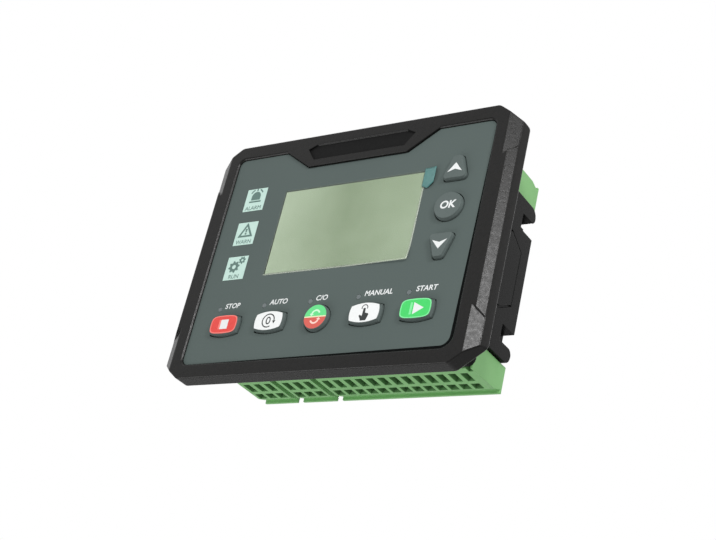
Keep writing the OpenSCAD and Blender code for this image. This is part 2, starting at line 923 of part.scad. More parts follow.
// Six-sided spacers soldered to the main board
module board_spacers() {
  color([0.8, 0.7, 0.4])
    at_corners(spacer_at)
      slab(main_back, io_y)
        difference() {
          circle(spacer_d / sqrt(3), $fn = 6);
          circle((rear_screw_d + seat) / 2);
        }
}

module io_board() {
  color(board_colour)
    slab(io_y, io_back)
      difference() {
        square([open_w - 2 * board_gap, step_h - 2 * wall - 2 * board_gap], center = true);
        for (sx = [-1, 1], sz = [-1, 1])
          translate([sx * spacer_at.x, sz * spacer_at.y]) circle(rear_screw_d / 2 + hole_fit);
      }
}

module relays() {
  relay_r = 0.8;
  color([0.13, 0.14, 0.16])
    slab(io_back, io_back + relay_t)
      for (i = [-1.5:1.5])
        translate([i * relay_pitch, relay_z]) soft_rect(relay_w, relay_h, relay_r);
}

module capacitors() {
  color([0.2, 0.22, 0.3])
    for (i = [-1:1])
      translate([i * can_pitch, 0, -can_low])
        rod(can_d, io_back, io_back + can_h);
}

// Headers and plugs, drawn along the upper edge and mirrored for the lower edge

// Half length of a plug's row of terminals
function row_half(plug) = plug[1] * pitch / 2;

// Places of a plug's terminals along X
function terminals(plug) = [for (i = [0:plug[1] - 1]) plug[0] + (i - (plug[1] - 1) / 2) * pitch];

module header(plug) {
  half = row_half(plug) + header_wall;
  room = 0.8;
  bore = pin_w + seat;
  difference() {
    translate([plug[0] - half, io_back, header_z0]) cube([2 * half, header_d, header_h]);
    translate([plug[0] - row_half(plug), io_back + header_wall, shoulder_z - room])
      cube([2 * row_half(plug), header_d - 2 * header_wall, header_h]);
    for (x = terminals(plug))
      translate([x - bore / 2, pin_y - bore / 2, header_z0 - cut])
        cube([bore, bore, header_h]);
  }
}

// Bent pins from the board into the header
module header_pins(plug) {
  for (x = terminals(plug)) {
    translate([x - pin_w / 2, pin_y - pin_w / 2, pin_foot]) cube([pin_w, pin_w, pin_top - pin_foot]);
    translate([x - pin_w / 2, io_back, pin_foot]) cube([pin_w, pin_y - io_back, pin_w]);
  }
}

// Side view of a plug outside the housing
module plug_profile() {
  polygon([
    [plug_y0, plug_z0], [plug_y1, plug_z0], [plug_y1, plug_z1 - plug_fall + lip_h],
    [plug_y1 - lip_t, plug_z1 - plug_fall + lip_h], [plug_y1 - lip_t, plug_z1 - plug_fall],
    [plug_y1 - plug_fall_len, plug_z1], [plug_y0, plug_z1]
  ]);
}

// Terminal plug; flange is the extra length at its right-hand end
module plug(p, flange) {
  left = p[0] - row_half(p) - plug_end;
  right = p[0] + row_half(p) + plug_end;
  fit_y0 = io_back + header_wall + header_fit;
  fit_y1 = header_y1 - header_wall - header_fit;
  fit_half = row_half(p) - header_fit;
  socket_fit = 0.25;
  socket = pin_w + 2 * socket_fit;
  color(plug_colour)
    difference() {
      union() {
        bar(left, right + flange) plug_profile();
        translate([p[0] - fit_half, fit_y0, shoulder_z])
          cube([2 * fit_half, fit_y1 - fit_y0, shoulder_len + plug_gap]);
      }
      for (x = terminals(p)) {
        translate([x - entry_w / 2, entry_y - entry_d / 2, entry_z])
          cube([entry_w, entry_d, entry_deep + cut]);
        translate([x - comb_w / 2, plug_y0 + comb_front, plug_z1 - comb_deep])
          cube([comb_w, comb_len, comb_deep + cut]);
        translate([x - socket / 2, pin_y - socket / 2, shoulder_z - cut])
          cube([socket, socket, shoulder_len]);
        translate([x, 0, clamp_z])
          rod(driver_d, entry_y, plug_y1 + cut);
      }
      if (flange > 0)
        translate([right + flange - pocket_wall - pocket_w, plug_y0 - cut, plug_z1 - comb_deep])
          cube([pocket_w, pocket_len + cut, comb_deep + cut]);
    }
}

// Square clamp cages in a plug's wire entries
module wire_clamps(p) {
  w = entry_w - 2 * seat;
  d = entry_d - 2 * seat;
  for (x = terminals(p))
    translate([x, entry_y, entry_z])
      linear_extrude(clamp_h)
        difference() {
          square([w, d], center = true);
          square([w - 2 * clamp_wall, d - 2 * clamp_wall], center = true);
        }
}

// Slotted clamp screws that press on the cages from the rear
module clamp_screws(p) {
  y0 = entry_y + entry_d / 2;
  y1 = y0 + clamp_screw_len;
  slot = 0.6;
  for (x = terminals(p))
    translate([x, 0, clamp_z])
      difference() {
        rod(clamp_screw_d, y0, y1);
        translate([-clamp_screw_d, y1 - slot, -slot / 2]) cube([2 * clamp_screw_d, slot + cut, slot]);
      }
}

module lower() {
  mirror([0, 0, 1]) children();
}

module low_headers() {
  color(plug_colour) lower() for (p = low_plugs) header(p);
}

module high_headers() {
  color(plug_colour) for (p = high_plugs) header(p);
}

module low_pins() {
  color(metal_colour) lower() for (p = low_plugs) header_pins(p);
}

module high_pins() {
  color(metal_colour) for (p = high_plugs) header_pins(p);
}

module plug_low_left() {
  lower() plug(low_plugs[0], 0);
}

module plug_low_middle() {
  lower() plug(low_plugs[1], 0);
}

module plug_low_right() {
  lower() plug(low_plugs[2], plug_flange);
}

module plug_high_left() {
  plug(high_plugs[0], 0);
}

module plug_high_right() {
  plug(high_plugs[1], plug_flange);
}

module low_clamps() {
  color(metal_colour) lower() for (p = low_plugs) wire_clamps(p);
}

module high_clamps() {
  color(metal_colour) for (p = high_plugs) wire_clamps(p);
}

module low_clamp_screws() {
  color(metal_colour) lower() for (p = low_plugs) clamp_screws(p);
}

module high_clamp_screws() {
  color(metal_colour) for (p = high_plugs) clamp_screws(p);
}

// Rear housing

// Side view of the housing's rear part, drawn in by g
module rear_profile(g) {
  depth = house_d - g;
  half = step_h / 2 - g;
  r = rear_r - g;
  translate([front_d - wall, -half]) square([depth - front_d + wall - r, 2 * half]);
  translate([depth - r - cut, r - half]) square([r + cut, 2 * half - 2 * r]);
  translate([depth - r, half - r]) circle(r);
  translate([depth - r, r - half]) circle(r);
}

// Outline of the raised panel on each side, its rear corners cut off at a slant, grown by g
module side_panel_outline(g) {
  z = side_panel_h / 2 + g;
  rear_z = side_panel_rear_h / 2 + g / 2;
  slant_y = side_panel_y - side_panel_cut + g / 4;
  polygon([
    [0, -z], [slant_y, -z], [side_panel_y + g, -rear_z],
    [side_panel_y + g, rear_z], [slant_y, z], [0, z]
  ]);
}

module side_panel() {
  bar(house_w / 2 - wall / 2, house_w / 2 + side_panel_t) side_panel_outline(0);
}

// Groove round the raised panel
module side_groove() {
  bar(house_w / 2 - side_groove_d, house_w / 2 + cut)
    difference() {
      side_panel_outline(side_groove_w);
      side_panel_outline(0);
    }
}

// Block in the right-hand wall round both clip slots, or the slots themselves
module clip_blocks(grow) {
  x0 = house_w / 2 - clip_depth - grow;
  y0 = house_d - clip_len - grow;
  past = grow > 0 ? 0 : cut;
  for (sz = [-1, 1])
    translate([x0, y0, sz * clip_z - clip_h / 2 - grow])
      cube([clip_depth + grow + past, clip_len + grow + past, clip_h + 2 * grow]);
}

// What the round corner of the upper right-hand lug takes off beside its clip slot
module lug_corner() {
  x0 = house_w / 2 - clip_depth - clip_wall;
  y0 = house_d - lug_r;
  z0 = clip_z + clip_h / 2;
  bar(x0, house_w / 2 + cut)
    difference() {
      translate([y0, z0 - cut]) square(lug_r + cut);
      translate([y0, z0 + lug_r]) circle(lug_r);
    }
}

// Openings for one edge's headers
module header_openings(plugs) {
  for (p = plugs)
    translate([p[0] - row_half(p) - header_wall - seat, io_back - seat, wall_z - wall - cut])
      cube([2 * (row_half(p) + header_wall + seat), header_d + 2 * seat, wall + 2 * cut]);
}

module both_sides() {
  children();
  mirror([1, 0, 0]) children();
}

module rear_housing() {
  post_d = rear_head_d + 2 * post_wall;
  color(bezel_colour)
    difference() {
      union() {
        difference() {
          union() {
            slab(0, front_d) soft_rect(house_w, house_h, house_r);
            bar(-house_w / 2, house_w / 2) rear_profile(0);
            both_sides() side_panel();
          }
          slab(-cut, front_d - wall) soft_rect(open_w, open_h, house_r);
          bar(-open_w / 2, open_w / 2) rear_profile(wall);
        }
        both_sides()
          intersection() {
            clip_blocks(clip_wall);
            bar(0, house_w / 2) rear_profile(0);
          }
        at_corners(spacer_at) rod(post_d, io_back, rear_in + wall / 2);
        // Tongues that locate the housing in the bezel
        for (sz = [-1, 1]) {
          slab(-tongue_len, wall)
            translate([0, sz * (open_h / 2 - seat - tongue_t / 2)])
              square([tongue_w, tongue_t], center = true);
          slab(0, wall)
            translate([0, sz * open_h / 2])
              square([tongue_w, 2 * seat + tongue_t], center = true);
        }
      }
      both_sides() clip_blocks(0);
      both_sides() {
        lug_corner();
        lower() lug_corner();
      }
      both_sides() side_groove();
      header_openings(high_plugs);
      lower() header_openings(low_plugs);
      at_corners(spacer_at) {
        rod(rear_screw_d + 2 * hole_fit, io_back - cut, house_d + cut);
        rod(rear_head_d + 2 * hole_fit, rear_head_y, house_d + cut);
      }
    }
}

// Screws through the posts and the board into the spacers
module rear_screws() {
  color(metal_colour)
    at_corners(spacer_at) {
      rod(rear_head_d, rear_head_y, rear_head_y + screw_head_t);
      rod(rear_screw_d, io_y - rear_bite, rear_head_y);
    }
}

front_bezel();
panel_gasket();
face_overlay();
lcd_window();
protective_film();
film_tab();
alarm_window();
warning_window();
running_window();
lamp_lenses();
lcd_glass();
lcd_backlight();
lcd_frame();
keypad_mat();
key_up();
key_ok();
key_down();
key_stop();
key_auto();
key_transfer();
key_manual();
key_start();
main_board();
board_screws();
lamp_chips();
control_chips();
board_connector();
board_spacers();
io_board();
relays();
capacitors();
low_headers();
high_headers();
low_pins();
high_pins();
rear_housing();
rear_screws();
plug_low_left();
plug_low_middle();
plug_low_right();
plug_high_left();
plug_high_right();
low_clamps();
high_clamps();
low_clamp_screws();
high_clamp_screws();
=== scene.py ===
import math

import bmesh
import bpy
from mathutils import Matrix, Vector


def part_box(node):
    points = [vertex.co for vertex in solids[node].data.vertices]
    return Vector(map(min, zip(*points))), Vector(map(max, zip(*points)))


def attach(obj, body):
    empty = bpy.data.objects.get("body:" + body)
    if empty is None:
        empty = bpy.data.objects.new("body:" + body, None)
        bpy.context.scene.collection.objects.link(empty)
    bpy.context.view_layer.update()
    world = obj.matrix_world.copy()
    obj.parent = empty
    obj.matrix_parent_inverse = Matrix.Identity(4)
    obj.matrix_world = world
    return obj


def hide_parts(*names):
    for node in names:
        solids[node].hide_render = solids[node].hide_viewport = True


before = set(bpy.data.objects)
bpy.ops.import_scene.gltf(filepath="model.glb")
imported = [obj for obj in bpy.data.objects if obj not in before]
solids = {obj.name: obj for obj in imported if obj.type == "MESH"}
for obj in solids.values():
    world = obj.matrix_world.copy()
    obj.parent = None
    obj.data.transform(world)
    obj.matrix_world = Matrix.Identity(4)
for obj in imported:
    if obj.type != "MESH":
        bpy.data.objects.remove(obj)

scene = bpy.context.scene
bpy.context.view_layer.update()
MM = 0.001


# Front bezel: one moulding of black plastic with a fine eroded grain on every outer face.
# It holds the face sheet in its front recess and the boards on bosses behind, and its
# rear face is drawn up against the panel.
class Wire:
    """One socket of a node tree. Arithmetic on it adds Math nodes, and add() adds any other node."""

    def __init__(self, tree, socket):
        self.tree = tree
        self.socket = socket

    def add(self, kind, settings, sockets, output=0):
        made = self.tree.nodes.new(kind)
        for name, value in settings.items():
            setattr(made, name, value)
        for key, value in sockets.items():
            for one in value if isinstance(value, list) else [value]:
                if isinstance(one, Wire):
                    self.tree.links.new(one.socket, made.inputs[key])
                else:
                    made.inputs[key].default_value = one
        return Wire(self.tree, made.outputs[output])

    def math(self, operation, first, second):
        return self.add("ShaderNodeMath", {"operation": operation}, {0: first, 1: second})

    def __add__(self, other):
        return self.math("ADD", self, other)

    def __radd__(self, other):
        return self.math("ADD", other, self)

    def __sub__(self, other):
        return self.math("SUBTRACT", self, other)

    def __rsub__(self, other):
        return self.math("SUBTRACT", other, self)

    def __mul__(self, other):
        return self.math("MULTIPLY", self, other)

    def above(self, level):
        return self.math("GREATER_THAN", self, level)

    def noise(self, grain, detail=2.0):
        """Value from 0 to 1 that changes over the surface about once in each grain, in metres."""
        return self.add("ShaderNodeTexNoise", {}, {"Vector": self, "Scale": 1 / grain, "Detail": detail})

    def between(self, low, high):
        """Colour that goes from low to high as this value goes from 0 to 1."""
        return self.add("ShaderNodeMix", {"data_type": "RGBA"}, {0: self, 6: low, 7: high}, output=2)

    def bump(self, height, strength):
        """Normal of a surface that this value raises by up to height, in metres."""
        return self.add("ShaderNodeBump", {}, {"Height": self, "Distance": height, "Strength": strength})

    def axis(self, index):
        return self.add("ShaderNodeSeparateXYZ", {}, {0: self}, output=index)


def screen(red, green, blue):
    """Linear colour of a screen colour from 0 to 255."""
    parts = (red / 255, green / 255, blue / 255)
    return (*(c / 12.92 if c <= 0.04045 else ((c + 0.055) / 1.055) ** 2.4 for c in parts), 1.0)


def new_material(name, constants):
    """Material, the wire of its Object coordinates, and a function that links wires to its shader."""
    material = bpy.data.materials.new(name)
    material.use_nodes = True
    tree = material.node_tree
    shader = tree.nodes["Principled BSDF"]
    for key, value in constants.items():
        shader.inputs[key].default_value = value
    place = Wire(tree, tree.nodes.new("ShaderNodeTexCoord").outputs["Object"])

    def feed(**wires):
        for key, wire in wires.items():
            tree.links.new(wire.socket, shader.inputs[key.replace("_", " ")])

    return material, place, feed


def grained_plastic(name, dark, light, grain, relief, gloss):
    """Moulded plastic whose grain scatters light more or less from patch to patch and speck to speck."""
    material, place, feed = new_material(name, {"Specular IOR Level": gloss})
    speck = place.noise(grain * 0.6, 2.0)
    patch = place.noise(grain * 2.2, 2.0) * 1.6 - 0.3
    feed(Base_Color=(speck * 0.5 + patch * 0.5).between(dark, light),
         Roughness=0.23 + patch * 0.14,
         Normal=(speck * 0.5 + patch * 0.3).bump(relief, 0.9))
    return material


EDGE_ANGLE = math.radians(20)
WELD = 0.002 * MM
FACING = 0.99
FLUSH = 0.05 * MM


def softened(node, edge, materials, body="controller", steps=2, share=None, front=None):
    """Copy of a CAD solid with its edges rounded; it stands for the solid.

    share gives the part of the rounding that an edge takes, from the edge's middle, and front
    the depth of a flat front face without holes, whose triangles become one face. With front,
    the rounding is in the first material.
    """
    mesh = solids[node].data.copy()
    form = bmesh.new()
    form.from_mesh(mesh)
    bmesh.ops.remove_doubles(form, verts=form.verts, dist=WELD)
    if front is not None:
        facing = [side for side in form.faces
                  if side.normal.y < -FACING and side.calc_center_median().y < front + FLUSH]
        inside = [side for side in form.edges if len(set(side.link_faces) & set(facing)) == 2]
        bmesh.ops.dissolve_edges(form, edges=inside, use_verts=False)
    weight = form.edges.layers.float.new("bevel_weight_edge")
    for side in form.edges:
        if len(side.link_faces) == 2 and side.calc_face_angle() > EDGE_ANGLE:
            side[weight] = share((side.verts[0].co + side.verts[1].co) / 2) if share else 1.0
    form.to_mesh(mesh)
    form.free()
    if "custom_normal" in mesh.attributes:
        mesh.attributes.remove(mesh.attributes["custom_normal"])
    mesh.materials.clear()
    for material in materials:
        mesh.materials.append(material)
    mesh.shade_smooth()
    mesh.set_sharp_from_angle(angle=EDGE_ANGLE)
    piece = bpy.data.objects.new(node + "_finished", mesh)
    scene.collection.objects.link(piece)
    rounding = piece.modifiers.new("edges", "BEVEL")
    rounding.width = edge
    rounding.segments = steps
    rounding.limit_method = "WEIGHT"
    rounding.use_clamp_overlap = False
    rounding.material = -1 if front is None else 0
    rounding.miter_outer = "MITER_ARC"
    piece.modifiers.new("faces", "WEIGHTED_NORMAL").keep_sharp = True
    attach(piece, body)
    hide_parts(node)
    return piece


def rim_share(middle):
    """The rim's inner edge is broken most; the tongue, its recess and what lies deeper stay sharper."""
    inner = abs(middle.x) < face_high.x + RIM_BAND and abs(middle.z) < face_high.z + RIM_BAND
    if not inner:
        return OUTER_SHARE
    if abs(middle.x) < PLATE_W / 2 + PLATE_BAND and middle.z > plate_low - PLATE_BAND:
        return PLATE_SHARE
    if middle.y > bezel_front + SLACK:
        return DEEP_SHARE
    on_tongue = abs(middle.x) < TONGUE_W / 2 and middle.z > plate_low - TONGUE_BAND
    return TONGUE_SHARE if on_tongue else 1.0


face_low, face_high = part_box("face_overlay")
bezel_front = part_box("front_bezel")[0].y
BEZEL_EDGE = 0.8 * MM
OUTER_SHARE = 0.5
PLATE_SHARE = 0.1
DEEP_SHARE = 0.2
TONGUE_SHARE = 0.3
RIM_BAND = 0.4 * MM
PLATE_BAND = 0.2 * MM
SLACK = 0.1 * MM
TONGUE_W = 72 * MM
TONGUE_BAND = 3.2 * MM
PLATE_W = 50.6 * MM
PLATE_H = 7.1 * MM
PLATE_DEPTH = 0.8 * MM
PLATE_DROP = 5.6 * MM
plate_low = face_high.z - PLATE_DROP
black_plastic = grained_plastic("black_grained_plastic", screen(6, 6, 6), screen(24, 23, 22),
                                0.55 * MM, 0.06 * MM, 0.23)
# Floor of the badge recess: a smooth black finish with little sheen, which looks darker than the grained
# rim; that darkness is painted shade in the recess.
recess_shade_finish, place, feed = new_material("badge_recess_painted_shade", {"Specular IOR Level": 0.06})
sheen = place.noise(0.8 * MM, 2.0)
feed(Base_Color=sheen.between(screen(16, 16, 16), screen(30, 30, 30)), Roughness=0.4 + sheen * 0.15)
bezel = softened("front_bezel", BEZEL_EDGE, [black_plastic, recess_shade_finish], share=rim_share)
# The faces of the recess floor take the painted shade finish.
for side in bezel.data.polygons:
    middle = side.center
    deep = bezel_front + SLACK < middle.y < bezel_front + PLATE_DEPTH + SLACK
    level = plate_low - SLACK < middle.z < plate_low + PLATE_H + SLACK
    if deep and level and abs(middle.x) < PLATE_W / 2 + SLACK:
        side.material_index = 1


# Panel gasket: a square cord of black foam rubber, pressed into the groove in the bezel's
# rear face and squeezed against the panel.
foam_rubber, place, feed = new_material("foam_rubber", {"Specular IOR Level": 0.2})
pores = place.noise(0.35 * MM, 3.0)
feed(Base_Color=pores.between(screen(16, 16, 17), screen(40, 40, 41)), Roughness=0.75 + pores * 0.2,
     Normal=pores.bump(0.12 * MM, 0.7))


def dress(node, material):
    """Gives a CAD solid whose form is already right its material."""
    solids[node].data.materials.clear()
    solids[node].data.materials.append(material)


dress("panel_gasket", foam_rubber)


# Face sheet: a printed sheet of matte polycarbonate, glued into the bezel's recess round the
# tongue, with openings for the windows, lamps and keys.
face_paint, place, feed = new_material("face_sheet_paint", {"Specular IOR Level": 0.2})
film_grain = place.noise(0.3 * MM, 2.0)
shade = place.noise(60 * MM, 1.0)
feed(Base_Color=(film_grain * 0.35 + shade * 0.65).between(screen(75, 86, 84), screen(90, 101, 98)),
     Roughness=0.46 + film_grain * 0.14,
     Normal=film_grain.bump(0.02 * MM, 0.5))
dress("face_overlay", face_paint)
face_y = face_low.y


# Words printed on the face sheet: white ink from a screen, one word over each lower key.
# The ink stands a few hundredths of a millimetre off the sheet.
INK = 0.03 * MM
DRAWN_DEPTH = 0.01
CAPS_SHARE = 0.69
WORD_H = 2.05
WORD_BOLD = 0.07
WORD_SLANT = 0.15
WORD_RISE = 8.75 * MM


def ink(name, colour, darker):
    material, place, feed = new_material(name, {"Specular IOR Level": 0.35})
    wear = place.noise(0.5 * MM, 2.0)
    feed(Base_Color=wear.between(darker, colour), Roughness=0.4 + wear * 0.2)
    return material


def lay(name, drawing, place, material, body):
    """Makes a flat drawing, in millimetres, a thin mesh at a place on a surface that faces the front."""
    drawing.extrude = DRAWN_DEPTH
    flatten = Matrix.Diagonal((MM, MM, INK / 2 / (DRAWN_DEPTH + drawing.bevel_depth), 1))
    drawing.fill_mode = "BOTH"
    sketch = bpy.data.objects.new(name, drawing)
    scene.collection.objects.link(sketch)
    mesh = bpy.data.meshes.new_from_object(sketch.evaluated_get(bpy.context.evaluated_depsgraph_get()))
    bpy.data.objects.remove(sketch)
    mesh.transform(Matrix.Translation(place) @ Matrix.Rotation(math.pi / 2, 4, "X") @ flatten)
    mesh.materials.clear()
    mesh.materials.append(material)
    piece = bpy.data.objects.new(name, mesh)
    scene.collection.objects.link(piece)
    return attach(piece, body)


def word(text, height, x, y, z, material, body="controller", bold=0.0, slant=0.0):
    """A word in capitals, centred at x and z on the surface at depth y.

    Its height, and what bold adds all round, are in millimetres.
    """
    drawing = bpy.data.curves.new("word_" + text.lower().replace("/", "_"), "FONT")
    drawing.body = text
    drawing.align_x = "CENTER"
    drawing.align_y = "CENTER"
    drawing.size = height / CAPS_SHARE
    drawing.bevel_depth = bold
    drawing.bevel_resolution = 0
    drawing.shear = slant
    drawing.resolution_u = 8
    return lay(drawing.name, drawing, Vector((x, y - INK / 2, z)), material, body)


white_ink = ink("white_ink", screen(238, 240, 240), screen(222, 226, 225))
row_z = (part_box("key_stop")[0].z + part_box("key_stop")[1].z) / 2
for text, x in (("STOP", -43.1), ("AUTO", -20.6), ("C/O", -0.5), ("MANUAL", 24.8), ("START", 45.2)):
    word(text, WORD_H, x * MM, face_y, row_z + WORD_RISE, white_ink, bold=WORD_BOLD, slant=WORD_SLANT)


# Lamp lenses: five small round light pipes of smoky plastic, pushed into the bezel from behind
# and flush with the face sheet, each by the word of its key.
def grown(name, tree, sizes, body="controller"):
    """Plain mesh of what a geometry tree makes with these sizes."""
    piece = bpy.data.objects.new(name, bpy.data.meshes.new(name))
    scene.collection.objects.link(piece)
    maker = piece.modifiers.new("maker", "NODES")
    maker.node_group = tree
    for item in tree.interface.items_tree:
        if item.in_out == "INPUT":
            maker[item.identifier] = sizes[item.name]
    mesh = bpy.data.meshes.new_from_object(piece.evaluated_get(bpy.context.evaluated_depsgraph_get()))
    piece.modifiers.remove(maker)
    piece.data = mesh
    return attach(piece, body)


def begin_tree(name, sizes):
    """New geometry tree with these named inputs, and the wires of the inputs."""
    tree = bpy.data.node_groups.new(name, "GeometryNodeTree")
    for key, kind in sizes.items():
        tree.interface.new_socket(key, in_out="INPUT", socket_type="NodeSocket" + kind)
    tree.interface.new_socket("Geometry", in_out="OUTPUT", socket_type="NodeSocketGeometry")
    given = tree.nodes.new("NodeGroupInput")
    tree.nodes.new("NodeGroupOutput")
    return tree, {key: Wire(tree, given.outputs[key]) for key in sizes}


def end_tree(tree, points, instance, material):
    """Sets an instance on each point and makes them all real, in one material."""
    copies = points.add("GeometryNodeInstanceOnPoints", {}, {"Points": points, "Instance": instance})
    real = copies.add("GeometryNodeRealizeInstances", {}, {"Geometry": copies})
    painted = real.add("GeometryNodeSetMaterial", {}, {"Geometry": real, "Material": material})
    tree.links.new(painted.socket, tree.nodes["Group Output"].inputs["Geometry"])


lens_plastic, place, feed = new_material("lamp_lens", {"Roughness": 0.18, "Coat Weight": 0.4})
haze = place.noise(0.6 * MM, 1.0)
feed(Base_Color=haze.between(screen(86, 96, 96), screen(102, 111, 113)))
lens_low, lens_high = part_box("lamp_lenses")
lens_d = lens_high.z - lens_low.z
LENSES = 5
DOME_W = 0.94
DOME_RISE = 0.16
lens_tree, size = begin_tree("lens_row", {"Diameter": "Float", "Length": "Float", "Lenses": "Int",
                                          "First": "Vector", "Step": "Vector"})
pipe = size["Length"].add("GeometryNodeMeshCylinder", {},
                          {"Vertices": 32, "Radius": size["Diameter"] * 0.5, "Depth": size["Length"]})
turned = pipe.add("GeometryNodeTransform", {}, {"Geometry": pipe, "Rotation": (math.pi / 2, 0, 0)})
dome = pipe.add("GeometryNodeMeshUVSphere", {},
                {"Segments": 32, "Rings": 12, "Radius": size["Diameter"] * 0.5})
lens_front = pipe.add("ShaderNodeCombineXYZ", {}, {"Y": size["Length"] * -0.5})
cap = dome.add("GeometryNodeTransform", {}, {"Geometry": dome, "Translation": lens_front,
                                             "Scale": (DOME_W, DOME_RISE, DOME_W)})
lens = cap.add("GeometryNodeJoinGeometry", {}, {"Geometry": [turned, cap]})
spots = lens.add("GeometryNodeMeshLine", {}, {"Count": size["Lenses"], "Start Location": size["First"],
                                              "Offset": size["Step"]})
end_tree(lens_tree, spots, lens, lens_plastic)
lens_step = (lens_high.x - lens_low.x - lens_d) / (LENSES - 1)
lenses = grown("lamp_lens_row", lens_tree, {
    "Diameter": lens_d, "Length": lens_high.y - lens_low.y, "Lenses": LENSES,
    "First": (lens_low.x + lens_d / 2, (lens_low.y + lens_high.y) / 2, (lens_low.z + lens_high.z) / 2),
    "Step": (lens_step, 0.0, 0.0)})
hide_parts("lamp_lenses")


# Edge of the face sheet: a painted shadow of the gap where the sheet meets the bezel's recess, a dark
# matte line along its lower and right edges. The line is widest at the corner between them and
# tapers off towards both ends.
def sign(name, outlines, x, y, z, material, body="controller", scale=1.0):
    """Flat sign from outlines in millimetres, across and up from x and z on the surface at depth y."""
    drawing = bpy.data.curves.new(name, "CURVE")
    drawing.dimensions = "2D"
    for outline in outlines:
        spline = drawing.splines.new("POLY")
        spline.points.add(len(outline) - 1)
        spline.use_cyclic_u = True
        for point, (across, up) in zip(spline.points, outline):
            point.co = (across * scale, up * scale, 0, 1)
    return lay(name, drawing, Vector((x, y - INK / 2, z)), material, body)


half_w, half_h = face_high.x / MM, face_high.z / MM
LINE_W = 1.35
LINE_H = 1.05
CORNER_R = 5.0
LINE_END = 3.0


def round_corner(across_r, up_r, start, end, steps=10):
    """Arc about the middle of the sheet's lower right corner, with its own reach across and up."""
    turns = [math.radians(start + (end - start) * i / steps) for i in range(steps + 1)]
    return [(half_w - CORNER_R + across_r * math.cos(a), CORNER_R - half_h + up_r * math.sin(a))
            for a in turns]


# Dark matte paint for the painted shadow at the sheet's edge.
edge_shadow_paint, place, feed = new_material("painted_edge_shadow", {"Roughness": 0.8, "Specular IOR Level": 0.03})
feed(Base_Color=place.noise(0.8 * MM, 2.0).between(screen(8, 10, 10), screen(20, 22, 22)))
outer_line = [(LINE_END - half_w, -half_h)] + round_corner(CORNER_R, CORNER_R, -90, 0)
inner_line = [(half_w, half_h - LINE_END)] + round_corner(CORNER_R - LINE_W, CORNER_R - LINE_H, 0, -90)
sign("face_edge_shadow", [outer_line + inner_line], 0, face_y, 0, edge_shadow_paint)


# Indicator windows: three pale translucent plates, let in from behind and flush with the sheet.
# Each has its sign and its word printed in grey.
def disc(radius, across=0.0, up=0.0, turn=1, steps=36):
    return [(across + radius * math.cos(2 * math.pi * turn * i / steps),
             up + radius * math.sin(2 * math.pi * turn * i / steps)) for i in range(steps)]


def plate(wide, high, across=0.0, up=0.0):
    return [(across - wide / 2, up - high / 2), (across + wide / 2, up - high / 2),
            (across + wide / 2, up + high / 2), (across - wide / 2, up + high / 2)]


def arc(radius, start, end, across=0.0, up=0.0, steps=24):
    """Points of an arc from one angle to another, in degrees."""
    turns = [math.radians(start + (end - start) * i / steps) for i in range(steps + 1)]
    return [(across + radius * math.cos(a), up + radius * math.sin(a)) for a in turns]


def band(radius, width, start, end, across=0.0, up=0.0):
    """Outline of an arc of that width, inward from the radius."""
    return arc(radius, start, end, across, up) + arc(radius - width, end, start, across, up)


def gear(radius, tooth, teeth, across, up):
    """Outline of a gear wheel with blunt teeth, and its bore."""
    points = []
    for i in range(teeth * 4):
        angle = 2 * math.pi * (i - 0.5) / (teeth * 4)
        reach = radius + (tooth if i % 4 in (1, 2) else 0)
        points.append((across + reach * math.cos(angle), up + reach * math.sin(angle)))
    return [points, disc(radius * 0.45, across, up, -1)]


pale_window, place, feed = new_material("pale_window", {"Roughness": 0.22, "Coat Weight": 0.3})
milk = place.noise(2.5 * MM, 2.0)
feed(Base_Color=milk.between(screen(182, 214, 203), screen(200, 228, 218)))
grey_ink = ink("grey_ink", screen(84, 110, 104), screen(104, 132, 124))
beacon = [arc(1.9, 0, 180, 0, 0.3) + [(-1.9, -1.1), (1.9, -1.1)], plate(5.0, 0.6, 0, -1.75),
          band(2.9, 0.5, 25, 65, 0, 0.6), band(2.9, 0.5, 115, 155, 0, 0.6), plate(0.5, 1.1, 0, 3.0)]
triangle = [[(-3.2, -2.4), (3.2, -2.4), (0, 3.2)], [(-1.95, -1.7), (0, 1.75), (1.95, -1.7)],
            [(-0.42, 0.8), (-0.26, -0.55), (0.26, -0.55), (0.42, 0.8)], disc(0.4, 0, -1.1, 1, 12)]
wheels = gear(1.75, 0.55, 8, -0.9, -0.5) + gear(1.05, 0.4, 7, 1.95, 1.85)
SIGN_SCALE = 1.18
SIGN_RISE = 1.2 * MM
WINDOW_WORD_H = 1.75
WINDOW_WORD_BOLD = 0.02
WINDOW_WORD_DROP = 3.9 * MM
for node, text, outlines in (("alarm_window", "ALARM", beacon), ("warning_window", "WARN", triangle),
                             ("running_window", "RUN", wheels)):
    dress(node, pale_window)
    low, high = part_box(node)
    x, z = (low.x + high.x) / 2, (low.z + high.z) / 2
    sign(node + "_sign", outlines, x, low.y, z + SIGN_RISE, grey_ink, scale=SIGN_SCALE)
    word(text, WINDOW_WORD_H, x, low.y, z - WINDOW_WORD_DROP, grey_ink, bold=WINDOW_WORD_BOLD)


# Display: a reflective liquid-crystal cell and its backlight in a black frame, close behind a
# frosted window that is let into the bezel's plate and shows the cell's grey-green tone, with a
# painted reflection across it. A dark line of painted shadow follows the left and top edges of
# its opening.
display_tint, place, feed = new_material("display_cell", {"Roughness": 0.35})
feed(Base_Color=place.noise(20 * MM, 2.0).between(screen(150, 168, 138), screen(184, 200, 174)))
dress("lcd_glass", display_tint)

